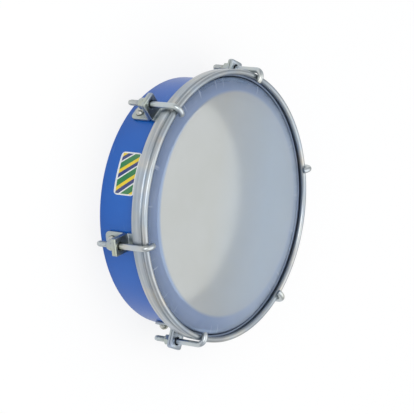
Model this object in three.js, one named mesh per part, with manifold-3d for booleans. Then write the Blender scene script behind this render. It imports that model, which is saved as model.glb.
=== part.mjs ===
// Six-inch hand drum: a moulded plastic shell with a film head, held down by a steel
// tension hoop, six hooks and the nuts that pull them through brackets on the shell.
// Millimetres, +Z up. The drum lies on its open rear rim: its axis is Z, the head is
// on top, and the origin is the centre of the rear rim.

import * as THREE from 'three';
import { mergeVertices } from 'three/addons/utils/BufferGeometryUtils.js';
import Module from 'manifold-3d';

const wasm = await Module();
wasm.setup();

// Shell
const shellDiameter = 152;
const shellWall = 9.5;
const shellDepth = 36.2;
const bearingEdgeRound = 1.6;
const innerEdgeRound = 1.2;
const rearEdgeRound = 1;

// Fit between pieces that touch on the real drum
const clearance = 0.3;
const cutOverrun = 2;

// Head film and the hoop that it is wrapped round
const filmThickness = 0.5;
const filmEdgeRound = 2.2;
const collarFlare = 1.6;
const fleshHoopWidth = 2.3;
const fleshHoopHeight = 4.6;
const fleshHoopRound = 0.9;

// Tension hoop: a rolled band with a round bead at its front
const bandThickness = 1.5;
const bandHeight = 6.2;
const bandEdgeRound = 0.6;
const bandCrown = 0.25;
const beadRadius = 1.8;
const beadProud = 0.4;
const grooveDepth = 0.7;
const grooveWidth = 0.9;
const beadNeckAngle = 105;
const beadGrooveAngle = 38;
const beadAboveFilm = 3;

// Lugs
const lugCount = 6;

// Tension hooks
const rodDiameter = 3.6;
const rodToHoop = 0.65;
const rodOverhang = 8.3;
const rodEndChamfer = 0.5;
const threadLength = 14;
const threadShallow = 0.12;
const hookSweep = 120;
const hookTipLength = 0.6;

// Brackets: a strap folded to a doubled wall between two feet
const strapWidth = 10.6;
const strapThickness = 1.4;
const foldGap = 0.3;
const foldInnerRound = 1;
const foldOuterRound = 1.2;
const wallBeyondRod = 5.1;
const footBelowFilm = 2.1;
const wallCornerRound = 1.8;
const rearFootLength = 13.8;
const frontFootLength = 6.1;
const footCornerRound = 3.4;
const rodHoleSlack = 0.9;

// Nuts and washers
const nutAcrossFlats = 6;
const nutHeight = 3.3;
const nutChamferAngle = 30;
const nutTurnBetweenLugs = 17;
const threadClearance = 0.25;
const washerDiameter = 7.4;
const washerThickness = 0.9;

// Rivets
const rivetFromFootEnd = 4.6;
const rivetShankDiameter = 3.2;
const rivetHeadDiameter = 5.4;
const rivetHeadHeight = 2.1;
const rivetTailDiameter = 5;
const rivetTailHeight = 1.6;
const rivetTailRound = 0.7;
const rivetHoleSlack = 0.3;

// Facets
const ringSegments = 72;
const ringArcSteps = 2;
const strapArcSteps = 3;
const beadSteps = 8;
const rodSides = 10;
const hookSteps = 7;
const holeSides = 12;
const washerSides = 18;
const rivetSides = 12;
const domeSteps = 3;

// Radii and heights that follow from the sizes above. Heights are measured from the
// rear rim of the shell, up towards the head.
const shellRadius = shellDiameter / 2;
const shellInnerRadius = shellRadius - shellWall;
const filmUnderside = shellDepth + clearance;
const filmTop = filmUnderside + filmThickness;
const collarInnerRadius = shellRadius + clearance;
const collarOuterRadius = collarInnerRadius + filmThickness;
const fleshInnerRadius = collarOuterRadius + collarFlare + clearance;
const fleshOuterRadius = fleshInnerRadius + fleshHoopWidth;
const bandInnerRadius = fleshOuterRadius + clearance;
const bandOuterRadius = bandInnerRadius + bandThickness;
const hoopRadius = bandOuterRadius + beadProud;
const beadCentreRadius = hoopRadius - beadRadius;
const beadHeight = filmTop + beadAboveFilm - beadRadius;
const bandFront = beadHeight - beadRadius - grooveWidth;
const bandRear = bandFront - bandHeight;
const fleshTop = beadHeight - beadRadius - clearance;
const fleshBottom = fleshTop - fleshHoopHeight;
const filmFootTop = fleshBottom - clearance;
const filmFootBottom = filmFootTop - filmThickness;

const rodRadius = rodDiameter / 2;
const rodCentreRadius = hoopRadius + rodToHoop + rodRadius;
const bendRadius = rodCentreRadius - beadCentreRadius;
const bendHeight = beadHeight + beadRadius + clearance + rodRadius - bendRadius;
const footUnderside = shellRadius + clearance;
const footTop = footUnderside + strapThickness;
const wallTop = rodCentreRadius + wallBeyondRod;
const footFront = filmFootBottom - footBelowFilm;
const wallFront = footFront - frontFootLength;
const wallRear = wallFront - 2 * strapThickness - foldGap;
const footRear = wallRear - rearFootLength;
const rodHoleRadius = rodRadius + rodHoleSlack;
const washerFront = wallRear - clearance;
const washerRear = washerFront - washerThickness;
const nutFront = washerRear - clearance;
const nutRear = nutFront - nutHeight;
const rodRear = nutRear - rodOverhang;
const threadEnd = rodRear + threadLength;
const threadRadius = rodRadius - threadShallow;
const rivetHeight = footRear + rivetFromFootEnd;
const rivetShankRadius = rivetShankDiameter / 2;
const rivetHoleRadius = rivetShankRadius + rivetHoleSlack;

// Materials
const finish = (color, roughness, metalness) => ({ color, roughness, metalness });
const bluePlastic = finish(0x3767b2, 0.35, 0);
const milkyFilm = finish(0xc5c8c8, 0.5, 0);
const zincSteel = finish(0xc9cbc6, 0.32, 1);
const dullSteel = finish(0xb4b8b6, 0.4, 1);
const rivetAlloy = finish(0xc4c6c4, 0.38, 1);

const radians = THREE.MathUtils.degToRad;

// Corner points given as [x, y, radius], with each corner rounded by its radius.
function roundedOutline(corners, arcSteps) {
  const points = [];
  corners.forEach(([x, y, radius], index) => {
    const here = new THREE.Vector2(x, y);
    if (radius === 0) {
      points.push(here);
      return;
    }
    const [beforeX, beforeY] = corners[(index + corners.length - 1) % corners.length];
    const [afterX, afterY] = corners[(index + 1) % corners.length];
    const back = new THREE.Vector2(beforeX, beforeY).sub(here).normalize();
    const ahead = new THREE.Vector2(afterX, afterY).sub(here).normalize();
    const halfAngle = Math.acos(THREE.MathUtils.clamp(back.dot(ahead), -1, 1)) / 2;
    const centre = back.clone().add(ahead).normalize().multiplyScalar(radius / Math.sin(halfAngle)).add(here);
    const start = back.multiplyScalar(radius / Math.tan(halfAngle)).add(here).sub(centre);
    const end = ahead.multiplyScalar(radius / Math.tan(halfAngle)).add(here).sub(centre);
    const turn = Math.atan2(start.cross(end), start.dot(end));
    for (let step = 0; step <= arcSteps; step += 1) {
      const spoke = start.clone().rotateAround(new THREE.Vector2(), (turn * step) / arcSteps);
      points.push(spoke.add(centre));
    }
  });
  return points;
}

// Points on an arc round a centre, angles in degrees.
function arcPoints(centreX, centreY, radius, fromAngle, toAngle, steps) {
  return Array.from({ length: steps + 1 }, (_, step) => {
    const angle = radians(fromAngle + ((toAngle - fromAngle) * step) / steps);
    return new THREE.Vector2(centreX + radius * Math.cos(angle), centreY + radius * Math.sin(angle));
  });
}

// Positions only, shared vertices merged, slivers dropped and faces turned outwards.
function closed(geometry) {
  const bare = geometry.clone();
  ['normal', 'uv'].forEach((name) => bare.deleteAttribute(name));
  const merged = mergeVertices(bare);
  const position = merged.attributes.position;
  const corner = [0, 1, 2].map(() => new THREE.Vector3());
  const faces = [];
  let volume = 0;
  for (let i = 0; i < merged.index.count; i += 3) {
    const face = [0, 1, 2].map((offset) => merged.index.getX(i + offset));
    if (new Set(face).size === 3) {
      face.forEach((vertex, n) => corner[n].fromBufferAttribute(position, vertex));
      volume += corner[0].dot(corner[1].clone().cross(corner[2]));
      faces.push(face);
    }
  }
  merged.setIndex(faces.flatMap((face) => (volume < 0 ? face.reverse() : face)));
  return merged;
}

function toSolid(geometry) {
  const source = closed(geometry);
  return new wasm.Manifold(new wasm.Mesh({
    numProp: 3,
    vertProperties: new Float32Array(source.attributes.position.array),
    triVerts: new Uint32Array(source.index.array),
  }));
}

function fromSolid(solid) {
  const mesh = solid.getMesh();
  const geometry = new THREE.BufferGeometry();
  geometry.setAttribute('position', new THREE.BufferAttribute(mesh.vertProperties, mesh.numProp));
  geometry.setIndex(new THREE.BufferAttribute(mesh.triVerts, 1));
  return closed(geometry);
}

// A profile of (radius, height) points revolved about Z.
function revolved(points, segments) {
  return new THREE.LatheGeometry(points, segments).rotateX(Math.PI / 2);
}

function revolvedRing(points, segments) {
  return revolved([...points, points[0].clone()], segments);
}

// A round bar along Z, between two heights.
function barAlongZ(radius, from, to, sides) {
  return new THREE.CylinderGeometry(radius, radius, to - from, sides)
    .rotateX(Math.PI / 2)
    .translate(0, 0, (from + to) / 2);
}

// A round bar along X at one height, between two radii of the drum.
function barAlongX(radius, from, to, height, sides) {
  return new THREE.CylinderGeometry(radius, radius, to - from, sides)
    .rotateZ(Math.PI / 2)
    .translate((from + to) / 2, 0, height);
}

// Skin over a row of rings that have as many points each, closed by a fan at each end.
function loft(rings) {
  const sides = rings[0].length;
  const centres = [rings[0], rings[rings.length - 1]].map((ring) =>
    ring.reduce((sum, point) => sum.add(point), new THREE.Vector3()).divideScalar(sides));
  const points = [...rings.flat(), ...centres];
  const first = rings.length * sides;
  const faces = [];
  for (let side = 0; side < sides; side += 1) {
    const next = (side + 1) % sides;
    for (let ring = 0; ring + 1 < rings.length; ring += 1) {
      const here = ring * sides;
      const beyond = here + sides;
      faces.push(here + side, here + next, beyond + next);
      faces.push(here + side, beyond + next, beyond + side);
    }
    faces.push(first, next, side);
    faces.push(first + 1, first - sides + side, first - sides + next);
  }
  return new THREE.BufferGeometry().setFromPoints(points).setIndex(faces);
}

// Shell: a thick moulded ring with a rounded bearing edge, drilled for the rivets.
function makeShell() {
  const profile = roundedOutline([
    [shellInnerRadius, 0, rearEdgeRound],
    [shellRadius, 0, rearEdgeRound],
    [shellRadius, shellDepth, bearingEdgeRound],
    [shellInnerRadius, shellDepth, innerEdgeRound],
  ], ringArcSteps);
  let solid = toSolid(revolvedRing(profile, ringSegments));
  for (let lug = 0; lug < lugCount; lug += 1) {
    const hole = barAlongX(
      rivetHoleRadius,
      shellInnerRadius - cutOverrun,
      shellRadius + cutOverrun,
      rivetHeight,
      holeSides,
    ).rotateZ(lugAngle(lug));
    solid = solid.subtract(toSolid(hole));
  }
  return fromSolid(solid);
}

// Head film: a flat disc, a collar that flares down the outside of the shell and a
// foot that tucks under the flesh hoop.
function makeFilm() {
  const underRound = filmEdgeRound - filmThickness;
  const profile = roundedOutline([
    [0, filmTop, 0],
    [collarOuterRadius, filmTop, filmEdgeRound],
    [collarOuterRadius + collarFlare, filmFootTop, 0],
    [fleshOuterRadius, filmFootTop, 0],
    [fleshOuterRadius, filmFootBottom, 0],
    [collarInnerRadius + collarFlare, filmFootBottom, 0],
    [collarInnerRadius, filmUnderside, underRound],
    [0, filmUnderside, 0],
  ], ringArcSteps);
  return closed(revolved(profile, ringSegments));
}

function makeFleshHoop() {
  const profile = roundedOutline([
    [fleshInnerRadius, fleshBottom, fleshHoopRound],
    [fleshOuterRadius, fleshBottom, fleshHoopRound],
    [fleshOuterRadius, fleshTop, fleshHoopRound],
    [fleshInnerRadius, fleshTop, fleshHoopRound],
  ], ringArcSteps);
  return closed(revolvedRing(profile, ringSegments));
}

// Tension hoop: the band's outer face is slightly crowned, and a groove parts it
// from the bead.
function makeTensionHoop() {
  const bandMiddle = (bandFront + bandRear) / 2;
  const band = roundedOutline([
    [bandInnerRadius, bandRear, 0],
    [bandOuterRadius, bandRear, bandEdgeRound],
    [bandOuterRadius + bandCrown, bandMiddle, 0],
    [bandOuterRadius, bandFront, bandEdgeRound],
    [bandOuterRadius - grooveDepth, bandFront + grooveWidth / 2, 0],
  ], ringArcSteps);
  const bead = arcPoints(
    beadCentreRadius,
    beadHeight,
    beadRadius,
    -beadGrooveAngle,
    360 - beadNeckAngle,
    beadSteps,
  );
  const neck = new THREE.Vector2(bandInnerRadius, bandFront);
  return closed(revolvedRing([...band, ...bead, neck], ringSegments));
}

// Bracket: the strap's side view extruded across its width, with its corners cut
// round and its holes drilled.
function makeBracket() {
  const slotRear = wallRear + strapThickness;
  const slotFront = wallFront - strapThickness;
  const slotTop = wallTop - strapThickness;
  const bendRound = foldInnerRound + strapThickness;
  const outline = roundedOutline([
    [footUnderside, footRear, 0],
    [footTop, footRear, 0],
    [footTop, wallRear, foldInnerRound],
    [wallTop, wallRear, foldOuterRound],
    [wallTop, wallFront, foldOuterRound],
    [footTop, wallFront, foldInnerRound],
    [footTop, footFront, 0],
    [footUnderside, footFront, 0],
    [footUnderside, slotFront, bendRound],
    [slotTop, slotFront, 0],
    [slotTop, slotRear, 0],
    [footUnderside, slotRear, bendRound],
  ], strapArcSteps);
  const strap = new THREE.ExtrudeGeometry(new THREE.Shape(outline), {
    depth: strapWidth,
    bevelEnabled: false,
    steps: 1,
  }).translate(0, 0, -strapWidth / 2).rotateX(Math.PI / 2);
  const side = strapWidth / 2;
  const footPlan = roundedOutline([
    [footRear, -side, footCornerRound],
    [footFront, -side, 0],
    [footFront, side, 0],
    [footRear, side, footCornerRound],
  ], strapArcSteps);
  const wallPlan = roundedOutline([
    [footUnderside, -side, 0],
    [wallTop, -side, wallCornerRound],
    [wallTop, side, wallCornerRound],
    [footUnderside, side, 0],
  ], strapArcSteps);
  const footMask = new THREE.ExtrudeGeometry(new THREE.Shape(footPlan), {
    depth: wallTop - footUnderside + 2 * cutOverrun,
    bevelEnabled: false,
  }).rotateY(-Math.PI / 2).translate(wallTop + cutOverrun, 0, 0);
  const wallMask = new THREE.ExtrudeGeometry(new THREE.Shape(wallPlan), {
    depth: footFront - footRear + 2 * cutOverrun,
    bevelEnabled: false,
  }).translate(0, 0, footRear - cutOverrun);
  const rodHole = barAlongZ(rodHoleRadius, wallRear - cutOverrun, wallFront + cutOverrun, holeSides)
    .translate(rodCentreRadius, 0, 0);
  const rivetHole = barAlongX(
    rivetHoleRadius,
    footUnderside - cutOverrun,
    footTop + cutOverrun,
    rivetHeight,
    holeSides,
  );
  const solid = toSolid(strap)
    .intersect(toSolid(footMask))
    .intersect(toSolid(wallMask))
    .subtract(toSolid(rodHole))
    .subtract(toSolid(rivetHole));
  return fromSolid(solid);
}

// Tension hook: a straight rod with a slimmer threaded end, bent over the bead.
function makeHook() {
  const stations = [
    { x: rodCentreRadius, z: rodRear, heading: 0, radius: threadRadius - rodEndChamfer },
    { x: rodCentreRadius, z: rodRear + rodEndChamfer, heading: 0, radius: threadRadius },
    { x: rodCentreRadius, z: threadEnd, heading: 0, radius: threadRadius },
    { x: rodCentreRadius, z: threadEnd + threadShallow, heading: 0, radius: rodRadius },
  ];
  const bendCentre = rodCentreRadius - bendRadius;
  for (let step = 0; step <= hookSteps; step += 1) {
    const heading = radians((hookSweep * step) / hookSteps);
    stations.push({
      x: bendCentre + bendRadius * Math.cos(heading),
      z: bendHeight + bendRadius * Math.sin(heading),
      heading,
      radius: rodRadius,
    });
  }
  const last = stations[stations.length - 1];
  [[hookTipLength, rodRadius], [hookTipLength + rodEndChamfer, rodRadius - rodEndChamfer]]
    .forEach(([reach, radius]) => stations.push({
      x: last.x - reach * Math.sin(last.heading),
      z: last.z + reach * Math.cos(last.heading),
      heading: last.heading,
      radius,
    }));
  const rings = stations.map(({ x, z, heading, radius }) =>
    Array.from({ length: rodSides }, (_, side) => {
      const turn = (2 * Math.PI * side) / rodSides;
      const out = radius * Math.cos(turn);
      return new THREE.Vector3(
        x + out * Math.cos(heading),
        radius * Math.sin(turn),
        z + out * Math.sin(heading),
      );
    }));
  return closed(loft(rings));
}

// Hexagon nut with both faces chamfered, bored to clear the rod.
function makeNut() {
  const cornerRadius = nutAcrossFlats / 2 / Math.cos(Math.PI / 6);
  const drop = (cornerRadius - nutAcrossFlats / 2) * Math.tan(radians(nutChamferAngle));
  const prism = barAlongZ(cornerRadius, nutRear, nutFront, 6);
  const turned = revolved([
    new THREE.Vector2(0, nutRear),
    new THREE.Vector2(nutAcrossFlats / 2, nutRear),
    new THREE.Vector2(cornerRadius, nutRear + drop),
    new THREE.Vector2(cornerRadius, nutFront - drop),
    new THREE.Vector2(nutAcrossFlats / 2, nutFront),
    new THREE.Vector2(0, nutFront),
  ], washerSides);
  const bore = barAlongZ(rodRadius + threadClearance, nutRear - cutOverrun, nutFront + cutOverrun, holeSides);
  return fromSolid(toSolid(prism).intersect(toSolid(turned)).subtract(toSolid(bore)));
}

function makeWasher() {
  const boreRadius = rodRadius + clearance;
  return closed(revolvedRing([
    new THREE.Vector2(boreRadius, washerRear),
    new THREE.Vector2(washerDiameter / 2, washerRear),
    new THREE.Vector2(washerDiameter / 2, washerFront),
    new THREE.Vector2(boreRadius, washerFront),
  ], washerSides));
}

// Rivet: a domed head on the foot, a shank through foot and shell, and a tail set
// against the inside of the shell.
function makeRivet() {
  const headSeat = footTop + clearance;
  const tailSeat = shellInnerRadius - clearance;
  const headRadius = rivetHeadDiameter / 2;
  const tailRadius = rivetTailDiameter / 2;
  const domeRadius = (headRadius ** 2 + rivetHeadHeight ** 2) / (2 * rivetHeadHeight);
  const domeSpan = THREE.MathUtils.radToDeg(Math.asin(headRadius / domeRadius));
  const domeCentre = headSeat + rivetHeadHeight - domeRadius;
  const dome = arcPoints(0, domeCentre, domeRadius, 90, 90 - domeSpan, domeSteps);
  const profile = [
    ...dome,
    new THREE.Vector2(rivetShankRadius, headSeat),
    new THREE.Vector2(rivetShankRadius, tailSeat),
    new THREE.Vector2(tailRadius, tailSeat),
    new THREE.Vector2(tailRadius, tailSeat - rivetTailHeight + rivetTailRound),
    new THREE.Vector2(tailRadius - rivetTailRound, tailSeat - rivetTailHeight),
    new THREE.Vector2(0, tailSeat - rivetTailHeight),
  ];
  return closed(new THREE.LatheGeometry(profile, rivetSides))
    .rotateZ(-Math.PI / 2)
    .translate(0, 0, rivetHeight);
}

function lugAngle(lug) {
  return (2 * Math.PI * lug) / lugCount;
}

function named(name, geometry, look) {
  const mesh = new THREE.Mesh(geometry, new THREE.MeshStandardMaterial(look));
  mesh.name = name;
  return mesh;
}

const drum = new THREE.Group();
drum.add(named('shell', makeShell(), bluePlastic));
drum.add(named('head_film', makeFilm(), milkyFilm));
drum.add(named('flesh_hoop', makeFleshHoop(), dullSteel));
drum.add(named('tension_hoop', makeTensionHoop(), zincSteel));

const lugPieces = [
  ['bracket', makeBracket(), dullSteel],
  ['rivet', makeRivet(), rivetAlloy],
  ['hook', makeHook(), zincSteel],
];
const threadedPieces = [
  ['washer', makeWasher(), dullSteel],
  ['nut', makeNut(), dullSteel],
];
for (let lug = 0; lug < lugCount; lug += 1) {
  const place = new THREE.Group();
  place.rotation.z = lugAngle(lug);
  lugPieces.forEach(([name, geometry, look]) => place.add(named(`${name}_${lug + 1}`, geometry, look)));
  threadedPieces.forEach(([name, geometry, look]) => {
    const mesh = named(`${name}_${lug + 1}`, geometry, look);
    mesh.position.x = rodCentreRadius;
    mesh.rotation.z = radians(nutTurnBetweenLugs * lug);
    place.add(mesh);
  });
  drum.add(place);
}

export default drum;
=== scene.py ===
import math
import random

import bmesh
import bpy
from mathutils import Matrix, Vector


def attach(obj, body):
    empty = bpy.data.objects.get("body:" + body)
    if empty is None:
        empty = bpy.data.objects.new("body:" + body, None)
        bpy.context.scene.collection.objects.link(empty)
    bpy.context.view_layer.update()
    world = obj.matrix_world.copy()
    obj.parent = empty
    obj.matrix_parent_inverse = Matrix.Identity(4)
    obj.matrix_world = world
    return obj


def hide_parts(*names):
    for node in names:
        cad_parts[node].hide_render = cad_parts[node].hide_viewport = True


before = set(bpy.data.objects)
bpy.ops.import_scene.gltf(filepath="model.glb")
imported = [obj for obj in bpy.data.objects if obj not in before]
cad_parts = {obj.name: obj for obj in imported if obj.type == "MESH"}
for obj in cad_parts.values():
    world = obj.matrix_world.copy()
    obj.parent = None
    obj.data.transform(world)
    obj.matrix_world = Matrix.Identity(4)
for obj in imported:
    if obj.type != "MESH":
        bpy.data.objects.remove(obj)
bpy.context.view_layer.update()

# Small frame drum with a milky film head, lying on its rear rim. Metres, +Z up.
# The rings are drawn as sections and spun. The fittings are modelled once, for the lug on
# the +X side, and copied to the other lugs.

MM = 0.001
FULL_TURN = 2 * math.pi
QUARTER_TURN = math.pi / 2

# Shell
shell_radius = 76 * MM
shell_inner_radius = 66.5 * MM
shell_height = 36.2 * MM
rear_edge_round = 1 * MM
inner_edge_round = 1.2 * MM
bearing_edge_round = 1.6 * MM

# Head film and the ring that it is wrapped round
film_top = 37 * MM
film_underside = 36.5 * MM
shoulder_start = 75.3 * MM
shoulder_drop = 0.8 * MM
collar_outer = 78.3 * MM
collar_inner = 77.8 * MM
collar_flare = 0.1 * MM
film_foot_top = 31.2 * MM
film_foot_bottom = 30.7 * MM
film_edge_cut = 0.9 * MM
film_under_cut = 0.5 * MM
flat_ring_shares = (0.35, 0.7, 0.88, 0.95)
wrapped_inner = 78.7 * MM
wrapped_outer = 81 * MM
wrapped_bottom = 31.5 * MM
wrapped_top = 36.1 * MM
wrapped_round = 0.9 * MM

# Creases in the film beside its ring, with the gaps between them counted in creases' widths
pucker_inner = 72.2 * MM
pucker_spacing = 0.7 * MM
pucker_height = 0.9 * MM
pucker_rise_shares = (-0.5, 0.35)
pucker_width = math.radians(1.3)
pucker_gap_widths = (3, 9)
pucker_reach = 3.2 * MM
pucker_deepest = 0.47 * MM
pucker_seed = 5
pucker_smoothing = 0.5
pucker_smoothings = 3

# Rolled hoop: a band with a groove and a bead above it
band_inner = 81.3 * MM
band_outer = 82.8 * MM
band_crown = 0.25 * MM
band_bottom = 29.3 * MM
band_top = 35.5 * MM
band_edge_round = 0.6 * MM
groove_depth = 0.7 * MM
groove_width = 0.9 * MM
bead_centre = 81.4 * MM
bead_height = 38.2 * MM
bead_radius = 1.8 * MM
bead_start = math.radians(-38)
bead_end = math.radians(255)

# Lugs
lug_count = 6
rod_centre = 85.65 * MM
rod_radius = 1.8 * MM
rod_rear = 6.3 * MM
rod_end_cut = 0.5 * MM
thread_top = 20.3 * MM
thread_pitch = 0.7 * MM
thread_root = 1.52 * MM
thread_crest = 1.78 * MM
thread_crest_width = 0.14 * MM
thread_sink = 0.08 * MM
bend_height = 37.85 * MM
bend_radius = 4.25 * MM
bend_sweep = math.radians(120)
hook_tip = 1.1 * MM

# Bracket: a strap folded to a doubled wall between two feet
strap_width = 10.6 * MM
strap_thickness = 1.4 * MM
strap_edge = 0.2 * MM
foot_underside = 76.3 * MM
wall_rear = 19.4 * MM
wall_front = 22.5 * MM
foot_rear = 5.6 * MM
foot_front = 28.6 * MM
wall_reach = 90.75 * MM
fold_inner_round = 1 * MM
fold_outer_round = 1.2 * MM
foot_corner_round = 3.4 * MM
wall_corner_round = 1.8 * MM
rod_hole_radius = 2.7 * MM
rivet_hole_radius = 1.9 * MM
cut_overrun = 2 * MM

# Nut, washer and rivet
nut_sides = 6
nut_bottom = 14.6 * MM
nut_top = 17.9 * MM
nut_half_flats = 3 * MM
nut_bore = 1.85 * MM
nut_edge = 0.12 * MM
nut_chamfer = math.radians(30)
nut_turn_between_lugs = math.radians(17)
washer_bottom = 18.2 * MM
washer_top = 19.1 * MM
washer_radius = 3.7 * MM
washer_bore = 2.1 * MM
washer_edge = 0.2 * MM
rivet_height = 10.2 * MM
rivet_seat = 78 * MM
rivet_head_radius = 2.7 * MM
rivet_head_rise = 2.1 * MM
rivet_shank = 1.6 * MM
rivet_tail_seat = 66.2 * MM
rivet_tail_radius = 2.5 * MM
rivet_tail_rise = 1.6 * MM
rivet_tail_round = 0.7 * MM

# Striped label on the shell
label_turn = math.radians(150)
label_height = 17.3 * MM
label_length = 27 * MM
label_width = 15 * MM
label_corner = 2.4 * MM
label_lift = 0.05 * MM
label_thickness = 0.09 * MM
label_border = 1.3 * MM
label_stripe_period = 8.5 * MM
label_stripe_slant = math.radians(35)
label_slices = 26

# Fineness of the meshes
ring_steps = 288
round_steps = 5
edge_steps = 2
bead_steps = 30
rod_sides = 32
bend_steps = 28
thread_steps = 28
hole_sides = 48
lathe_steps = 64
smooth_angle = math.radians(34)
weld_distance = 0.002 * MM
start_size = 1 * MM

# How a screen's steps stand for light
screen_white = 255
screen_knee = 0.04045
screen_slope = 12.92
screen_lift = 0.055
screen_power = 2.4


def colour(red, green, blue):
    """A colour given as it shows on a screen, from 0 to 255."""
    parts = []
    for shown in (red / screen_white, green / screen_white, blue / screen_white):
        if shown > screen_knee:
            parts.append(((shown + screen_lift) / (1 + screen_lift)) ** screen_power)
        else:
            parts.append(shown / screen_slope)
    return (*parts, 1)


# Effects that the finishes share. A spread is the part of the noise's range that shows.
cloud_noise = {"Detail": 3, "Roughness": 0.55}
cloud_spread = (0.32, 0.68)
grain_noise = {"Detail": 4, "Roughness": 0.6}
grain_spread = (0.35, 0.65)
scratch_noise = {"Detail": 2, "Roughness": 0.7}
scratch_spread = (0.6, 0.72)
scratch_squeeze = (0.12, 0.12, 1)
scratch_patch_noise = {"Scale": 38, "Detail": 2}
scratch_patch_spread = (0.48, 0.66)
streak_noise = {"Detail": 2, "Roughness": 0.5}
streak_spread = (0.35, 0.65)
streak_squeeze = (0.05, 0.05, 1)

# Plastic of the shell. The inside is paler, from just outside the inner radius.
shell_blue = colour(8, 90, 180)
shell_flow_blue = colour(14, 99, 190)
shell_inside_blue = colour(104, 152, 214)
shell_scuff_blue = colour(84, 136, 204)
shell_inside_start = 0.6 * MM
shell_inside_end = 0.2 * MM
shell_tone = {"Scale": 26, "Strength": 0.55}
shell_scuffs = {"Scale": 900, "Strength": 0.32}
shell_pits = {"Scale": 1500, "Low": 0.28, "High": 0.38}
shell_bump = {"Strength": 0.25, "Distance": 0.06 * MM}
shell_ior = 1.5

# Film, with painted see-through light: its tone drifts from neutral to bluish across the head,
# standing in for the blue inner wall showing through, and turns bluish over the shell's edge, in
# a ring that lies a little off centre
film_middle_left = colour(207, 210, 207)
film_middle_right = colour(213, 225, 234)
film_edge_left = colour(157, 180, 214)
film_edge_right = colour(203, 218, 236)
film_see_through_turn = math.radians(-21)
film_see_through_start = -12 * MM
film_see_through_end = 42 * MM
film_edge_shift = 3.8 * MM
film_edge_start = 67.8 * MM
film_edge_end = 69.8 * MM
film_haze_tone = colour(230, 235, 240)
film_haze = {"Scale": 30, "Strength": 0.14}
film_fibres = {"Scale": 1100, "Low": 0.16, "High": 0.24}
film_bump = {"Strength": 0.05, "Distance": 0.04 * MM}
film_clearness = 0.62
film_ior = 1.4

# Film beside its ring: painted shade that darkens it towards the ring, strongest on one side,
# painted highlights as pale glints on its creases, and painted shade on the collar
film_ring_shade_tone = colour(112, 138, 174)
film_ring_shade_turn = math.radians(-50)
film_ring_shade_start = -35 * MM
film_ring_shade_end = 40 * MM
film_ring_shade_depths = (0.82, 0.25)
film_ring_shade_run_in = 2 * MM
film_ring_shade_run_out = 1 * MM
film_glint_tone = colour(218, 230, 246)
film_glint_noise = {"Scale": 20, "Detail": 2, "Roughness": 0.6}
film_glint_spread = (0.6, 0.69)
film_glint_depth = 0.85
film_glint_run_in = 0.5 * MM
film_glint_run_out = 2 * MM
film_collar_shade_tone = colour(128, 140, 154)
film_collar_shade_start = 0.2 * MM
film_collar_shade_end = 1.4 * MM

# Plated steel, with two blooms of colour and what each kind of piece has of its own
zinc_bloom = {"Scale": 60, "Strength": 0.8}
zinc_second_bloom = {"Scale": 85, "Strength": 0.7}
zinc_second_shift = (0.31, 0.17, 0.23)
zinc_scuffs = {"Scale": 1400, "Strength": 0.1}
zinc_scuff_tone = colour(128, 130, 130)
zinc_pit_scale = 700
zinc_streak_scale = 620
zinc_streak_tone = colour(138, 148, 156)
zinc_bump = {"Strength": 0.02, "Distance": 0.03 * MM}
zinc_finishes = {
    "hoop_zinc": {
        "bright": colour(188, 197, 200),
        "warm": colour(210, 199, 182),
        "cool": colour(168, 181, 198),
        "gloss": {"Low": 0.3, "High": 0.35},
        "streaked": 0.6,
    },
    "hook_zinc": {
        "bright": colour(194, 202, 202),
        "warm": colour(206, 200, 180),
        "cool": colour(174, 186, 202),
        "gloss": {"Low": 0.28, "High": 0.34},
        "streaked": 0,
    },
    "fitting_zinc": {
        "bright": colour(184, 194, 192),
        "warm": colour(194, 196, 162),
        "cool": colour(156, 168, 196),
        "gloss": {"Low": 0.32, "High": 0.4},
        "streaked": 0.1,
    },
    "rivet_metal": {
        "bright": colour(192, 194, 190),
        "warm": colour(196, 192, 164),
        "cool": colour(174, 180, 190),
        "gloss": {"Low": 0.26, "High": 0.36},
        "streaked": 0,
    },
    # painted shade: the ring is dark and bluish, partly from the film that covers it and partly
    # as shade in the gap under the bead
    "shaded_ring_metal": {
        "bright": colour(136, 150, 172),
        "warm": colour(142, 152, 168),
        "cool": colour(128, 144, 170),
        "gloss": {"Low": 0.46, "High": 0.56},
        "streaked": 0.2,
    },
}

# Print on the label: each ink starts at its share of a stripe's period
label_inks = (
    colour(28, 122, 66),
    colour(236, 204, 40),
    colour(32, 52, 118),
    colour(226, 228, 226),
)
label_ink_shares = (0, 0.4, 0.64, 0.9)
label_paper = colour(228, 230, 228)
label_aged_tone = colour(188, 186, 170)
label_age = {"Scale": 70, "Strength": 0.12}
label_fibres = {"Scale": 1800, "Low": 0.3, "High": 0.4}
label_bump = {"Strength": 0.1, "Distance": 0.03 * MM}

# Studio
floor_size = 12
floor_noise = {"Scale": 3}
floor_tones = (colour(238, 238, 238), colour(243, 243, 243))
floor_roughness = 0.9
floor_glow = {"Color": (1, 1, 1, 1), "Strength": 1}
floor_glow_share = 0.82
sky_spread = (-0.05, 0.8)
sky_tones = (colour(162, 166, 172), colour(250, 251, 252))
sky_strength = 0.95
lamps = {
    "key_lamp": {"place": (-1.3, 0.7, 1), "size": 1, "power": 8},
    "top_lamp": {"place": (0.35, -0.3, 1.6), "size": 2, "power": 9.5},
}

# Camera: lens and sensor in millimetres, then its axes and its place
camera_lens = 200
camera_sensor = 36
camera_right = Vector((0.5883, -0.0987, 0.8026))
camera_up = Vector((0.2884, 0.9529, -0.0942))
camera_back = Vector((-0.7554, 0.2868, 0.5891))
camera_place = Vector((-1.0597, 0.4003, 0.8487))

# Sockets of the node that mixes two colours
mix_share = 0
mix_first = 6
mix_second = 7
mix_result = 2


def deselect_all():
    if bpy.context.object and bpy.context.object.mode != "OBJECT":
        bpy.ops.object.mode_set(mode="OBJECT")
    bpy.ops.object.select_all(action="DESELECT")


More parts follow.
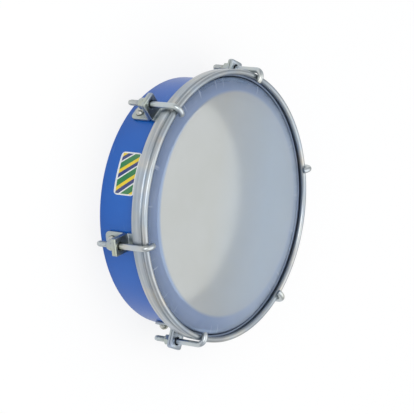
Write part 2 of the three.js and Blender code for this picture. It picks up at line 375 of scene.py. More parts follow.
def choose(piece):
    deselect_all()
    piece.select_set(True)
    bpy.context.view_layer.objects.active = piece


def settle(piece):
    """Puts the piece's place in its mesh and leaves the object at the origin."""
    choose(piece)
    bpy.ops.object.transform_apply(location=True, rotation=True, scale=True)


def edit(piece, kind="VERT"):
    choose(piece)
    bpy.ops.object.mode_set(mode="EDIT")
    bpy.ops.mesh.select_mode(type=kind)


def leave_edit():
    bpy.ops.object.mode_set(mode="OBJECT")


def select_whole():
    """Selects the whole mesh. This and the next four work in edit mode."""
    bpy.ops.mesh.select_all(action="SELECT")


def weld():
    select_whole()
    bpy.ops.mesh.remove_doubles(threshold=weld_distance)


def face_outwards():
    select_whole()
    bpy.ops.mesh.normals_make_consistent(inside=False)


def extrude(shift):
    bpy.ops.mesh.extrude_region_move(TRANSFORM_OT_translate={"value": shift})


def pick_points(piece, wanted):
    """Selects the points whose place passes the test."""
    bpy.ops.mesh.select_all(action="DESELECT")
    shape = bmesh.from_edit_mesh(piece.data)
    for point in shape.verts:
        point.select = wanted(point.co)
    shape.select_flush_mode()
    bmesh.update_edit_mesh(piece.data)


def draw_outline(name, points, is_closed=True):
    """An outline of (across, height) points in the XZ plane, drawn from one vertex."""
    here = Vector((points[0][0], 0, points[0][1]))
    bpy.ops.mesh.primitive_plane_add(size=start_size, location=here)
    piece = bpy.context.object
    piece.name = name
    settle(piece)
    edit(piece)
    select_whole()
    bpy.ops.mesh.merge(type="CENTER")
    path = points[1:] + (points[:1] if is_closed else [])
    for across, height in path:
        there = Vector((across, 0, height))
        extrude(there - here)
        here = there
    weld()
    leave_edit()
    return piece


def round_corners(piece, corners, cut):
    """Rounds the corners of an outline, starting the arc at this distance from them."""
    edit(piece)

    def is_corner(place):
        return any(
            math.hypot(place.x - across, place.z - height) < weld_distance
            for across, height in corners
        )

    pick_points(piece, is_corner)
    bpy.ops.mesh.bevel(offset=cut, segments=round_steps, affect="VERTICES")
    leave_edit()


def arc_points(across, height, radius, start, end, steps):
    """Points on an arc, its angles measured from the outward direction."""
    points = []
    for step in range(steps + 1):
        turn = start + (end - start) * step / steps
        points.append((across + radius * math.cos(turn), height + radius * math.sin(turn)))
    return points


def smooth(piece):
    choose(piece)
    bpy.ops.object.shade_smooth_by_angle(angle=smooth_angle)


def revolve(piece, steps):
    """Spins an outline about Z and welds the seam and poles."""
    edit(piece)
    select_whole()
    bpy.ops.mesh.spin(steps=steps, angle=FULL_TURN, center=(0, 0, 0), axis=(0, 0, 1))
    weld()
    face_outwards()
    leave_edit()
    smooth(piece)


def thicken(piece, shift):
    """Fills an outline and extrudes it by this shift."""
    edit(piece)
    select_whole()
    bpy.ops.mesh.edge_face_add()
    extrude(shift)
    face_outwards()
    leave_edit()


def apply_modifier(piece, kind, **settings):
    choose(piece)
    step = piece.modifiers.new(kind.lower(), kind)
    for name, value in settings.items():
        setattr(step, name, value)
    bpy.ops.object.modifier_apply(modifier=step.name)


def cut_with(piece, cutter, operation):
    """Cuts the piece with another shape, which is then thrown away."""
    apply_modifier(piece, "BOOLEAN", object=cutter, operation=operation, solver="EXACT")
    bpy.data.objects.remove(cutter)


def soften_edges(piece, width):
    apply_modifier(
        piece,
        "BEVEL",
        width=width,
        segments=edge_steps,
        limit_method="ANGLE",
        angle_limit=smooth_angle,
    )
    smooth(piece)


def round_bar(name, radius, sides, start, end):
    """A round bar between two places, with flat ends."""
    along = end - start
    bpy.ops.mesh.primitive_cylinder_add(
        vertices=sides,
        radius=radius,
        depth=along.length,
        location=(start + end) / 2,
        rotation=along.to_track_quat("Z", "Y").to_euler(),
    )
    bar = bpy.context.object
    bar.name = name
    settle(bar)
    return bar


def drill(piece, radius, start, end):
    """Cuts a round hole from one place to another."""
    cut_with(piece, round_bar("drill", radius, hole_sides, start, end), "DIFFERENCE")


def turned_copy(master, name, turn):
    """A copy with its own mesh, turned about the drum's axis."""
    choose(master)
    bpy.ops.object.duplicate()
    copy = bpy.context.object
    copy.name = name
    copy.rotation_euler.z = turn
    settle(copy)
    return copy


def make_shell():
    rear_corners = [(shell_inner_radius, 0), (shell_radius, 0)]
    bearing_corner = (shell_radius, shell_height)
    inner_corner = (shell_inner_radius, shell_height)
    shell = draw_outline("moulded_shell", [*rear_corners, bearing_corner, inner_corner])
    round_corners(shell, rear_corners, rear_edge_round)
    round_corners(shell, [bearing_corner], bearing_edge_round)
    round_corners(shell, [inner_corner], inner_edge_round)
    revolve(shell, ring_steps)
    return shell


def film_height(reach):
    """Height of the film's top, which slopes from the bearing edge to its ring."""
    slope = shoulder_drop / (collar_outer - shoulder_start)
    return film_top - slope * max(0, reach - shoulder_start)


def make_film():
    """The film lies flat, slopes to its ring, turns down and tucks under the ring."""
    outer_corner = (collar_outer, film_top - shoulder_drop)
    inner_corner = (collar_inner, film_underside - shoulder_drop)
    edge_rings = []
    reach = pucker_inner
    while reach < collar_outer - film_edge_cut - pucker_spacing:
        edge_rings.append((reach, film_height(reach)))
        reach += pucker_spacing
    film = draw_outline("milky_film", [
        (0, film_top),
        *[(pucker_inner * share, film_top) for share in flat_ring_shares],
        *edge_rings,
        outer_corner,
        (collar_outer + collar_flare, film_foot_top),
        (wrapped_outer, film_foot_top),
        (wrapped_outer, film_foot_bottom),
        (collar_inner + collar_flare, film_foot_bottom),
        inner_corner,
        (shoulder_start, film_underside),
        (0, film_underside),
    ], is_closed=False)
    round_corners(film, [outer_corner], film_edge_cut)
    round_corners(film, [inner_corner], film_under_cut)
    revolve(film, ring_steps)
    pucker_edge(film)
    return film


def pucker_edge(film):
    """Small radial creases in the film's top near its edge, unevenly spaced."""
    chance = random.Random(pucker_seed)

    def is_on_top(place):
        reach = math.hypot(place.x, place.y)
        return reach > pucker_inner and place.z > film_height(reach) - pucker_deepest

    edit(film)
    turn = 0
    while turn < FULL_TURN:
        middle = turn
        reach = pucker_inner + chance.uniform(0, pucker_reach)

        def is_in_crease(place):
            off = math.atan2(place.y, place.x) - middle
            off = (off + math.pi) % FULL_TURN - math.pi
            return (
                abs(off) < pucker_width
                and math.hypot(place.x, place.y) > reach
                and is_on_top(place)
            )

        pick_points(film, is_in_crease)
        rise = pucker_height * chance.uniform(*pucker_rise_shares)
        bpy.ops.transform.translate(value=(0, 0, rise))
        turn += pucker_width * chance.uniform(*pucker_gap_widths)

    pick_points(film, is_on_top)
    bpy.ops.mesh.vertices_smooth(factor=pucker_smoothing, repeat=pucker_smoothings)
    leave_edit()


def make_wrapped_ring():
    corners = [
        (wrapped_inner, wrapped_bottom),
        (wrapped_outer, wrapped_bottom),
        (wrapped_outer, wrapped_top),
        (wrapped_inner, wrapped_top),
    ]
    ring = draw_outline("wrapped_ring", corners)
    round_corners(ring, corners, wrapped_round)
    revolve(ring, ring_steps)
    return ring


def make_hoop():
    """The band is slightly crowned, and a groove parts it from the bead."""
    lower_edge = (band_outer, band_bottom)
    upper_edge = (band_outer, band_top)
    hoop = draw_outline("rolled_hoop", [
        (band_inner, band_bottom),
        lower_edge,
        (band_outer + band_crown, (band_bottom + band_top) / 2),
        upper_edge,
        (band_outer - groove_depth, band_top + groove_width / 2),
        *arc_points(bead_centre, bead_height, bead_radius, bead_start, bead_end, bead_steps),
        (band_inner, band_top),
    ])
    round_corners(hoop, [lower_edge, upper_edge], band_edge_round)
    revolve(hoop, ring_steps)
    return hoop


def make_thread():
    """A ridge wound round the rod's rear end, sunk a little into the core."""
    turns = int((thread_top - rod_rear - rod_end_cut) / thread_pitch)
    ridge = draw_outline("thread_ridge", [
        (thread_root - thread_sink, 0),
        (thread_crest, (thread_pitch - thread_crest_width) / 2),
        (thread_crest, (thread_pitch + thread_crest_width) / 2),
        (thread_root - thread_sink, thread_pitch),
    ])
    apply_modifier(
        ridge,
        "SCREW",
        angle=FULL_TURN,
        screw_offset=thread_pitch,
        iterations=turns,
        steps=thread_steps,
        render_steps=thread_steps,
        use_smooth_shade=False,
    )
    edit(ridge)
    select_whole()
    bpy.ops.mesh.fill_holes(sides=0)
    face_outwards()
    leave_edit()
    ridge.location = (rod_centre, 0, rod_rear + rod_end_cut)
    settle(ridge)
    return ridge


def make_hook():
    """A rod bent over the bead, with a thread wound on its rear end."""
    bpy.ops.mesh.primitive_circle_add(
        vertices=rod_sides,
        radius=rod_radius,
        fill_type="NGON",
        location=(rod_centre, 0, thread_top),
    )
    hook = bpy.context.object
    hook.name = "hook_rod_1"
    settle(hook)
    edit(hook, "FACE")
    select_whole()
    extrude((0, 0, bend_height - thread_top))
    bpy.ops.mesh.spin(
        steps=bend_steps,
        angle=bend_sweep,
        center=(rod_centre - bend_radius, 0, bend_height),
        axis=(0, 1, 0),
    )
    tip_way = Vector((-math.sin(bend_sweep), 0, math.cos(bend_sweep)))
    extrude(tip_way * hook_tip)
    bpy.ops.mesh.bevel(offset=rod_end_cut, segments=round_steps, affect="EDGES")
    weld()
    face_outwards()
    leave_edit()
    core = round_bar(
        "thread_core",
        thread_root,
        rod_sides,
        Vector((rod_centre, 0, rod_rear)),
        Vector((rod_centre, 0, thread_top + rod_end_cut)),
    )
    edit(core, "EDGE")
    pick_points(core, lambda place: place.z < rod_rear + weld_distance)
    bpy.ops.mesh.bevel(offset=rod_end_cut / 2, segments=edge_steps, affect="EDGES")
    leave_edit()
    ridge = make_thread()
    choose(hook)
    core.select_set(True)
    ridge.select_set(True)
    bpy.ops.object.join()
    smooth(hook)
    return hook


def make_bracket():
    """The strap's side view extruded across its width, then trimmed and drilled."""
    foot_top = foot_underside + strap_thickness
    slot_rear = wall_rear + strap_thickness
    slot_front = wall_front - strap_thickness
    slot_reach = wall_reach - strap_thickness
    side = strap_width / 2
    tight_folds = [(foot_top, wall_rear), (foot_top, wall_front)]
    wide_folds = [(foot_underside, slot_front), (foot_underside, slot_rear)]
    wall_ends = [(wall_reach, wall_rear), (wall_reach, wall_front)]
    strap = draw_outline("folded_strap_1", [
        (foot_underside, foot_rear),
        (foot_top, foot_rear),
        tight_folds[0],
        *wall_ends,
        tight_folds[1],
        (foot_top, foot_front),
        (foot_underside, foot_front),
        wide_folds[0],
        (slot_reach, slot_front),
        (slot_reach, slot_rear),
        wide_folds[1],
    ])
    round_corners(strap, tight_folds, fold_inner_round)
    round_corners(strap, wall_ends, fold_outer_round)
    round_corners(strap, wide_folds, fold_inner_round + strap_thickness)
    thicken(strap, (0, strap_width, 0))
    strap.location.y = -side
    settle(strap)

    foot_corners = [(-side, foot_rear), (side, foot_rear)]
    foot_trim = draw_outline("foot_trim", [
        *foot_corners,
        (side, foot_front + cut_overrun),
        (-side, foot_front + cut_overrun),
    ])
    round_corners(foot_trim, foot_corners, foot_corner_round)
    thicken(foot_trim, (0, wall_reach - foot_underside + 2 * cut_overrun, 0))
    foot_trim.rotation_euler.z = -QUARTER_TURN
    foot_trim.location.x = foot_underside - cut_overrun
    settle(foot_trim)
    cut_with(strap, foot_trim, "INTERSECT")

    wall_corners = [(wall_reach, side), (wall_reach, -side)]
    wall_trim = draw_outline("wall_trim", [
        (foot_underside - cut_overrun, -side),
        (foot_underside - cut_overrun, side),
        *wall_corners,
    ])
    round_corners(wall_trim, wall_corners, wall_corner_round)
    thicken(wall_trim, (0, foot_front - foot_rear + 2 * cut_overrun, 0))
    wall_trim.rotation_euler.x = QUARTER_TURN
    wall_trim.location.z = foot_rear - cut_overrun
    settle(wall_trim)
    cut_with(strap, wall_trim, "INTERSECT")

    drill(
        strap,
        rod_hole_radius,
        Vector((rod_centre, 0, wall_rear - cut_overrun)),
        Vector((rod_centre, 0, wall_front + cut_overrun)),
    )
    drill(
        strap,
        rivet_hole_radius,
        Vector((foot_underside - cut_overrun, 0, rivet_height)),
        Vector((foot_top + cut_overrun, 0, rivet_height)),
    )
    soften_edges(strap, strap_edge)
    return strap


def make_nut(turn):
    """A hexagon with both faces chamfered, bored to clear the rod."""
    corner_radius = nut_half_flats / math.cos(math.pi / nut_sides)
    drop = (corner_radius - nut_half_flats) * math.tan(nut_chamfer)
    nut = round_bar(
        "hex_nut",
        corner_radius,
        nut_sides,
        Vector((0, 0, nut_bottom)),
        Vector((0, 0, nut_top)),
    )
    turned = draw_outline("turned_blank", [
        (0, nut_bottom),
        (nut_half_flats, nut_bottom),
        (corner_radius + weld_distance, nut_bottom + drop),
        (corner_radius + weld_distance, nut_top - drop),
        (nut_half_flats, nut_top),
        (0, nut_top),
    ], is_closed=False)
    revolve(turned, lathe_steps)
    cut_with(nut, turned, "INTERSECT")
    drill(
        nut,
        nut_bore,
        Vector((0, 0, nut_bottom - cut_overrun)),
        Vector((0, 0, nut_top + cut_overrun)),
    )
    soften_edges(nut, nut_edge)
    nut.rotation_euler.z = turn
    nut.location.x = rod_centre
    settle(nut)
    return nut


def make_washer():
    corners = [
        (washer_bore, washer_bottom),
        (washer_radius, washer_bottom),
        (washer_radius, washer_top),
        (washer_bore, washer_top),
    ]
    washer = draw_outline("punched_washer_1", corners)
    round_corners(washer, corners, washer_edge)
    revolve(washer, lathe_steps)
    washer.location.x = rod_centre
    settle(washer)
    return washer


def make_rivet():
    """A domed head, a shank through foot and shell, and a tail set inside the shell."""
    dome_radius = (rivet_head_radius ** 2 + rivet_head_rise ** 2) / (2 * rivet_head_rise)
    dome_centre = rivet_seat + rivet_head_rise - dome_radius
    dome_edge = math.acos(rivet_head_radius / dome_radius)
    tail_end = rivet_tail_seat - rivet_tail_rise
    tail_corner = (rivet_tail_radius, tail_end)
    rivet = draw_outline("set_rivet_1", [
        *arc_points(0, dome_centre, dome_radius, QUARTER_TURN, dome_edge, bead_steps),
        (rivet_shank, rivet_seat),
        (rivet_shank, rivet_tail_seat),
        (rivet_tail_radius, rivet_tail_seat),
        tail_corner,
        (0, tail_end),
    ], is_closed=False)
    round_corners(rivet, [tail_corner], rivet_tail_round)
    revolve(rivet, lathe_steps)
    rivet.rotation_euler.y = QUARTER_TURN
    rivet.location.z = rivet_height
    settle(rivet)
    return rivet


def make_label(shell):
    """A thin printed label, sliced so that it bends, laid on the shell."""
    half_length = label_length / 2
    half_width = label_width / 2
    corners = [
        (-half_length, -half_width),
        (half_length, -half_width),
        (half_length, half_width),
        (-half_length, half_width),
    ]
    label = draw_outline("striped_label", corners)
    round_corners(label, corners, label_corner)
    edit(label)
    select_whole()
    bpy.ops.mesh.edge_face_add()
    for cut in range(1, label_slices):
        select_whole()
        bpy.ops.mesh.bisect(
            plane_co=(-half_length + label_length * cut / label_slices, 0, 0),
            plane_no=(1, 0, 0),
        )
    leave_edit()
    label.rotation_euler.z = label_turn + QUARTER_TURN
    label.location = (
        math.cos(label_turn) * (shell_radius + cut_overrun),
        math.sin(label_turn) * (shell_radius + cut_overrun),
        label_height,
    )
    settle(label)
    apply_modifier(
        label,
        "SHRINKWRAP",
        target=shell,
        wrap_method="NEAREST_SURFACEPOINT",
        wrap_mode="ABOVE_SURFACE",
        offset=label_lift,
    )
    apply_modifier(label, "SOLIDIFY", thickness=label_thickness, offset=1)
    edit(label)
    face_outwards()
    leave_edit()
    smooth(label)
    return label


def set_inputs(tree, made, inputs):
    """Sets or links the node's inputs, given by name or number."""
    for name, value in inputs.items():
        socket = made.inputs[name]
        if isinstance(value, bpy.types.NodeSocket):
            tree.links.new(value, socket)
        else:
            socket.default_value = value


def place_node(tree, kind, inputs, **settings):
    """A shader node with these settings and inputs."""
    made = tree.nodes.new(kind)
    for name, value in settings.items():
        setattr(made, name, value)
    set_inputs(tree, made, inputs)
    return made


def calculate(tree, operation, *values):
    """A maths node over numbers and sockets."""
    made = place_node(tree, "ShaderNodeMath", dict(enumerate(values)), operation=operation)
    return made.outputs["Value"]


def measure(tree, operation, *places):
    """A vector maths node that gives a number."""
    made = place_node(tree, "ShaderNodeVectorMath", dict(enumerate(places)), operation=operation)
    return made.outputs["Value"]


def blend_colours(tree, share, first, second):
    mixed = place_node(
        tree,
        "ShaderNodeMix",
        {mix_share: share, mix_first: first, mix_second: second},
        data_type="RGBA",
    )
    return mixed.outputs[mix_result]


def stretch(tree, value, low, high, from_value, to_value):
    """A value taken from one range to another, held at the ends."""
    spread = place_node(tree, "ShaderNodeMapRange", {
        "Value": value,
        "From Min": low,
        "From Max": high,
        "To Min": from_value,
        "To Max": to_value,
    })
    return spread.outputs["Result"]


def place_noise(tree, places, settings):
    noise = place_node(tree, "ShaderNodeTexNoise", {"Vector": places, **settings})
    return noise.outputs["Fac"]


def squeeze(tree, places, shares):
    """Places squeezed along each axis, which draws the noise over them out."""
    squeezed = place_node(tree, "ShaderNodeMapping", {"Vector": places, "Scale": shares})
    return squeezed.outputs["Vector"]


def along_way(tree, places, turn):
    """How far each place lies towards a direction across the head."""
    return measure(tree, "DOT_PRODUCT", places, (math.cos(turn), math.sin(turn), 0))


def split_places(tree, places):
    return place_node(tree, "ShaderNodeSeparateXYZ", {"Vector": places}).outputs


def flatten(tree, parts):
    """The way across from the drum's axis, without the height."""
    flat = place_node(tree, "ShaderNodeCombineXYZ", {"X": parts["X"], "Y": parts["Y"]})
    return flat.outputs["Vector"]


def start_effect(name, inputs, outputs):
    """An empty node group that takes a place and these numbers and gives these numbers."""
    effect = bpy.data.node_groups.new(name, "ShaderNodeTree")
    sockets = [("Place", "INPUT", "NodeSocketVector")]
    sockets += [(socket, "INPUT", "NodeSocketFloat") for socket in inputs]
    sockets += [(socket, "OUTPUT", "NodeSocketFloat") for socket in outputs]
    for socket, side, kind in sockets:
        effect.interface.new_socket(socket, in_out=side, socket_type=kind)
    given = effect.nodes.new("NodeGroupInput").outputs
    result = effect.nodes.new("NodeGroupOutput")
    return effect, given, result


def make_cloud_effect():
    """Slow change of tone over a surface."""
    effect, given, result = start_effect("slow_tone", ["Scale", "Strength"], ["Mask"])
    cloud = place_noise(effect, given["Place"], {"Scale": given["Scale"], **cloud_noise})
    spread = stretch(effect, cloud, *cloud_spread, 0, 1)
    mask = calculate(effect, "MULTIPLY", spread, given["Strength"])
    set_inputs(effect, result, {"Mask": mask})
    return effect


def make_grain_effect():
    """Fine grain for bump and for uneven gloss."""
    effect, given, result = start_effect(
        "fine_grain", ["Scale", "Low", "High"], ["Height", "Gloss"]
    )
    grain = place_noise(effect, given["Place"], {"Scale": given["Scale"], **grain_noise})
    gloss = stretch(effect, grain, *grain_spread, given["Low"], given["High"])
    set_inputs(effect, result, {"Height": grain, "Gloss": gloss})
    return effect


def make_scratch_effect():
    """Thin scratches that run round the drum, broken up by noise."""
    effect, given, result = start_effect("thin_scratches", ["Scale", "Strength"], ["Mask"])
    squeezed = squeeze(effect, given["Place"], scratch_squeeze)
    lines = place_noise(effect, squeezed, {"Scale": given["Scale"], **scratch_noise})
    patches = place_noise(effect, given["Place"], scratch_patch_noise)
    thin = stretch(effect, lines, *scratch_spread, 0, 1)
    where = stretch(effect, patches, *scratch_patch_spread, 0, 1)
    both = calculate(effect, "MULTIPLY", thin, where)
    mask = calculate(effect, "MULTIPLY", both, given["Strength"])
    set_inputs(effect, result, {"Mask": mask})
    return effect


def make_streak_effect():
    """Long streaks from rolling, which run round the drum."""
    effect, given, result = start_effect("rolled_streaks", ["Scale", "Strength"], ["Mask"])
    squeezed = squeeze(effect, given["Place"], streak_squeeze)
    streaks = place_noise(effect, squeezed, {"Scale": given["Scale"], **streak_noise})
    spread = stretch(effect, streaks, *streak_spread, 0, 1)
    mask = calculate(effect, "MULTIPLY", spread, given["Strength"])
    set_inputs(effect, result, {"Mask": mask})
    return effect


def place_effect(tree, effect, places, settings):
    """A shared effect with this finish's own values."""
    inputs = {"Place": places, **settings}
    return place_node(tree, "ShaderNodeGroup", inputs, node_tree=effect).outputs


def start_material(name):
    """An empty material, with its tree, its surface shader and the object's places."""
    material = bpy.data.materials.new(name)
    material.use_nodes = True
    tree = material.node_tree
    surface = tree.nodes["Principled BSDF"]
    places = tree.nodes.new("ShaderNodeTexCoord").outputs["Object"]
    return material, tree, surface, places


def finish_surface(tree, surface, shade, grain, bump):
    """Gives a surface its colour, and its gloss and bump from the grain."""
    raised = place_node(tree, "ShaderNodeBump", {"Height": grain["Height"], **bump})
    set_inputs(tree, surface, {
        "Base Color": shade,
        "Roughness": grain["Gloss"],
        "Normal": raised.outputs["Normal"],
    })


def make_shell_plastic(cloud, grain, scratches):
    """Satin moulded plastic with a faint flow tone, fine pitting and light scuffs."""
    material, tree, surface, places = start_material("shell_plastic_blue")
    reach = measure(tree, "LENGTH", flatten(tree, split_places(tree, places)))
    tone = place_effect(tree, cloud, places, shell_tone)
    scuff = place_effect(tree, scratches, places, shell_scuffs)
    pits = place_effect(tree, grain, places, shell_pits)
    outer = blend_colours(tree, tone["Mask"], shell_blue, shell_flow_blue)
    is_inside = stretch(
        tree,
        reach,
        shell_inner_radius + shell_inside_end,
        shell_inner_radius + shell_inside_start,
        1,
        0,
    )
    body = blend_colours(tree, is_inside, outer, shell_inside_blue)
    scuffed = blend_colours(tree, scuff["Mask"], body, shell_scuff_blue)
    finish_surface(tree, surface, scuffed, pits, shell_bump)
    surface.inputs["IOR"].default_value = shell_ior
    return material


def make_film_milk(cloud, grain):
    """Milky film with painted see-through light, bluish over the shell's edge, clearer in the
    middle, with faint clouds, painted shade by its ring and painted glints.
    """
    material, tree, surface, places = start_material("film_milk")
    parts = split_places(tree, places)
    across = flatten(tree, parts)
    reach = measure(tree, "LENGTH", across)
    haze = place_effect(tree, cloud, places, film_haze)
    fibres = place_effect(tree, grain, places, film_fibres)

    # painted see-through light: neutral on one side, bluish on the other, standing in for the
    # blue inner wall showing through
    see_through_way = along_way(tree, places, film_see_through_turn)
    see_through_share = stretch(tree, see_through_way, film_see_through_start, film_see_through_end, 0, 1)
    middle = blend_colours(tree, see_through_share, film_middle_left, film_middle_right)
    edge = blend_colours(tree, see_through_share, film_edge_left, film_edge_right)

    # painted shade: the film darkens towards its ring, strongest on one side
    shade_way = along_way(tree, places, film_ring_shade_turn)
    shade_depth = stretch(tree, shade_way, film_ring_shade_start, film_ring_shade_end, *film_ring_shade_depths)
    shade_start = pucker_inner - film_ring_shade_run_in
    shade_end = shoulder_start + film_ring_shade_run_out
    shade_share = stretch(tree, reach, shade_start, shade_end, 0, 1)
    by_ring_shade = calculate(tree, "MULTIPLY", shade_share, shade_depth)
    ring_shaded = blend_colours(tree, by_ring_shade, edge, film_ring_shade_tone)

    # painted highlights: pale glints on the creases beside the ring
    way_out = place_node(
        tree, "ShaderNodeVectorMath", {"Vector": across}, operation="NORMALIZE"
    ).outputs["Vector"]
    creases = place_noise(tree, way_out, film_glint_noise)
    marks = stretch(tree, creases, *film_glint_spread, 0, film_glint_depth)
    glint_start = pucker_inner - film_glint_run_in
    glint_end = pucker_inner + film_glint_run_out
    by_bead = stretch(tree, reach, glint_start, glint_end, 0, 1)
    glint = calculate(tree, "MULTIPLY", marks, by_bead)
    with_glints = blend_colours(tree, glint, ring_shaded, film_glint_tone)

    # painted see-through light: the blue of the shell's edge under the film, in a ring set off
    # centre
    shifted = measure(tree, "DISTANCE", across, (film_edge_shift, 0, 0))
    over_edge = stretch(tree, shifted, film_edge_start, film_edge_end, 0, 1)
    top = blend_colours(tree, over_edge, middle, with_glints)
    clouded = blend_colours(tree, haze["Mask"], top, film_haze_tone)
    # painted shade on the collar below the film's top, in the gap beside the hoop
    collar_low = film_underside - film_collar_shade_end
    collar_high = film_underside - film_collar_shade_start
    below_top = stretch(tree, parts["Z"], collar_low, collar_high, 1, 0)
    shaded = blend_colours(tree, below_top, clouded, film_collar_shade_tone)

    finish_surface(tree, surface, shaded, fibres, film_bump)
    surface.inputs["Transmission Weight"].default_value = film_clearness
    surface.inputs["IOR"].default_value = film_ior
    return material


def make_zinc(name, effects, bright, warm, cool, gloss, streaked):
    """Plated steel with the faint warm and cool bloom of its passivation."""
    cloud, grain, scratches, streaks = effects
    material, tree, surface, places = start_material(name)
    shifted = place_node(
        tree, "ShaderNodeMapping", {"Vector": places, "Location": zinc_second_shift}
    ).outputs["Vector"]
    bloom = place_effect(tree, cloud, places, zinc_bloom)
    second = place_effect(tree, cloud, shifted, zinc_second_bloom)
    scuff = place_effect(tree, scratches, places, zinc_scuffs)
    pits = place_effect(tree, grain, places, {"Scale": zinc_pit_scale, **gloss})
    streak_settings = {"Scale": zinc_streak_scale, "Strength": streaked}
    rolled = place_effect(tree, streaks, places, streak_settings)
    warmed = blend_colours(tree, bloom["Mask"], bright, warm)
    cooled = blend_colours(tree, second["Mask"], warmed, cool)
    lined = blend_colours(tree, rolled["Mask"], cooled, zinc_streak_tone)
    dull = blend_colours(tree, scuff["Mask"], lined, zinc_scuff_tone)
    finish_surface(tree, surface, dull, pits, zinc_bump)
    surface.inputs["Metallic"].default_value = 1
    return material


def make_label_print(cloud, grain):
    """Slanted stripes in four colours inside a white border."""
    material, tree, surface, places = start_material("label_print")
    parts = split_places(tree, places)
    turn = calculate(tree, "ARCTAN2", parts["Y"], parts["X"])
    off_middle = calculate(tree, "SUBTRACT", turn, label_turn)
    along = calculate(tree, "MULTIPLY", off_middle, shell_radius)
    up = calculate(tree, "SUBTRACT", parts["Z"], label_height)

    slanted = calculate(
        tree,
        "ADD",
        calculate(tree, "MULTIPLY", along, math.cos(label_stripe_slant)),
        calculate(tree, "MULTIPLY", up, math.sin(label_stripe_slant)),
    )
    periods = calculate(tree, "DIVIDE", slanted, label_stripe_period)
    place_in_period = calculate(tree, "FRACT", periods)
    stripes = place_node(tree, "ShaderNodeValToRGB", {"Fac": place_in_period})
    ramp = stripes.color_ramp
    ramp.interpolation = "CONSTANT"
    ramp.elements.remove(ramp.elements[1])
    ramp.elements[0].color = label_inks[0]
    for start, ink in zip(label_ink_shares[1:], label_inks[1:]):
        ramp.elements.new(start).color = ink

    from_middle = calculate(tree, "ABSOLUTE", along)
    from_end = calculate(tree, "SUBTRACT", label_length / 2, from_middle)
    from_centreline = calculate(tree, "ABSOLUTE", up)
    from_side = calculate(tree, "SUBTRACT", label_width / 2, from_centreline)
    inside = calculate(tree, "MINIMUM", from_end, from_side)
    is_printed = calculate(tree, "GREATER_THAN", inside, label_border)
    paper = blend_colours(tree, is_printed, label_paper, stripes.outputs["Color"])

    age = place_effect(tree, cloud, places, label_age)
    fibres = place_effect(tree, grain, places, label_fibres)
    aged = blend_colours(tree, age["Mask"], paper, label_aged_tone)
    finish_surface(tree, surface, aged, fibres, label_bump)
    return material


def make_floor():
    """A pale floor that looks white to the camera and keeps a soft shadow."""
    bpy.ops.mesh.primitive_plane_add(size=floor_size, location=(0, 0, 0))
    floor = bpy.context.object
    floor.name = "studio_floor"
    material, tree, surface, places = start_material("floor_paper")
    paper = place_noise(tree, places, floor_noise)
    shade = blend_colours(tree, paper, *floor_tones)
    set_inputs(tree, surface, {"Base Color": shade, "Roughness": floor_roughness})
    rays = tree.nodes.new("ShaderNodeLightPath").outputs
    seen = calculate(tree, "MAXIMUM", rays["Is Camera Ray"], rays["Is Glossy Ray"])
    seen = calculate(tree, "MAXIMUM", seen, rays["Is Transmission Ray"])
    share = calculate(tree, "MULTIPLY", seen, floor_glow_share)
    glow = place_node(tree, "ShaderNodeEmission", floor_glow)
    mixed = place_node(tree, "ShaderNodeMixShader", {
        0: share,
        1: surface.outputs["BSDF"],
        2: glow.outputs["Emission"],
    })
    output = tree.nodes["Material Output"]
    set_inputs(tree, output, {"Surface": mixed.outputs["Shader"]})
    floor.data.materials.append(material)


def make_light(name, place, size, power):
    """A soft square lamp that faces the drum."""
    bpy.ops.object.light_add(type="AREA", location=place)
    lamp = bpy.context.object
    lamp.name = name
    lamp.data.size = size
    lamp.data.energy = power
    lamp.rotation_euler = (-Vector(place)).to_track_quat("-Z", "Y").to_euler()


def make_studio():
    """Even light from all round, a little brighter from above, and soft lamps."""
    world = bpy.data.worlds.new("studio")
    bpy.context.scene.world = world
    world.use_nodes = True
    tree = world.node_tree
    way = tree.nodes.new("ShaderNodeTexCoord").outputs["Generated"]
    rise = stretch(tree, split_places(tree, way)["Z"], *sky_spread, 0, 1)
    shade = blend_colours(tree, rise, *sky_tones)
    set_inputs(tree, tree.nodes["Background"], {"Color": shade, "Strength": sky_strength})
    for name, settings in lamps.items():
        make_light(name, **settings)


def make_camera():
    bpy.ops.object.camera_add()
    camera = bpy.context.object
    camera.name = "photo_camera"
    camera.data.lens = camera_lens
    camera.data.sensor_width = camera_sensor
    turned = Matrix((camera_right, camera_up, camera_back)).transposed().to_4x4()
    turned.translation = camera_place
    camera.matrix_world = turned
    bpy.context.scene.camera = camera


def finish_piece(piece, body, slot, material, *nodes):
    """Gives the piece its finish, its body and the CAD nodes that it stands for."""
    piece.data.materials.clear()
    piece.data.materials.append(material)
    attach(piece, body)
    if nodes:
        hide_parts(*nodes)


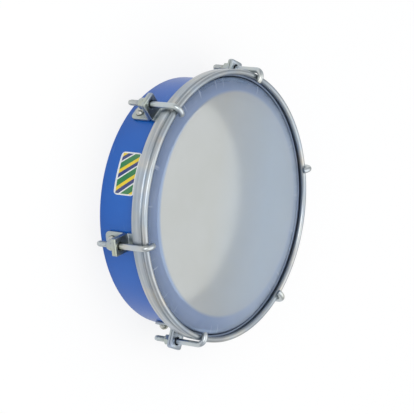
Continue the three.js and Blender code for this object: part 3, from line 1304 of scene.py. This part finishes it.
deselect_all()
bpy.context.scene.view_settings.view_transform = "Standard"
make_camera()
make_studio()
make_floor()

cloud_effect = make_cloud_effect()
grain_effect = make_grain_effect()
scratch_effect = make_scratch_effect()
streak_effect = make_streak_effect()
metal_effects = (cloud_effect, grain_effect, scratch_effect, streak_effect)
shell_plastic = make_shell_plastic(cloud_effect, grain_effect, scratch_effect)
film_milk = make_film_milk(cloud_effect, grain_effect)
label_print = make_label_print(cloud_effect, grain_effect)
metals = {}
for metal_name, finish in zinc_finishes.items():
    metals[metal_name] = make_zinc(metal_name, metal_effects, **finish)

shell_piece = make_shell()
label_piece = make_label(shell_piece)
finish_piece(shell_piece, "shell_body", "shell_plastic", shell_plastic, "shell")
finish_piece(label_piece, "shell_body", "shell_plastic", label_print)
finish_piece(make_film(), "rim", "head_film", film_milk, "head_film")
finish_piece(make_wrapped_ring(), "rim", "fitting_steel", metals["shaded_ring_metal"], "flesh_hoop")
finish_piece(make_hoop(), "rim", "hoop_steel", metals["hoop_zinc"], "tension_hoop")

first_pieces = [
    (make_bracket(), "folded_strap", "bracket", "shell_body", "fitting_steel", "fitting_zinc"),
    (make_washer(), "punched_washer", "washer", "shell_body", "fitting_steel", "fitting_zinc"),
    (make_rivet(), "set_rivet", "rivet", "shell_body", "rivet_alloy", "rivet_metal"),
    (make_hook(), "hook_rod", "hook", "hook", "hoop_steel", "hook_zinc"),
]
for lug in range(lug_count):
    lug_turn = FULL_TURN * lug / lug_count
    number = str(lug + 1)
    for master, piece_name, node_name, body_name, slot_name, metal_name in first_pieces:
        if lug == 0:
            piece = master
        else:
            piece = turned_copy(master, f"{piece_name}_{number}", lug_turn)
        body = f"hook_{number}" if body_name == "hook" else body_name
        finish_piece(piece, body, slot_name, metals[metal_name], f"{node_name}_{number}")
    nut = make_nut(nut_turn_between_lugs * lug)
    nut.rotation_euler.z = lug_turn
    settle(nut)
    nut.name = f"hex_nut_{number}"
    finish_piece(nut, f"nut_{number}", "fitting_steel", metals["fitting_zinc"], f"nut_{number}")

deselect_all()
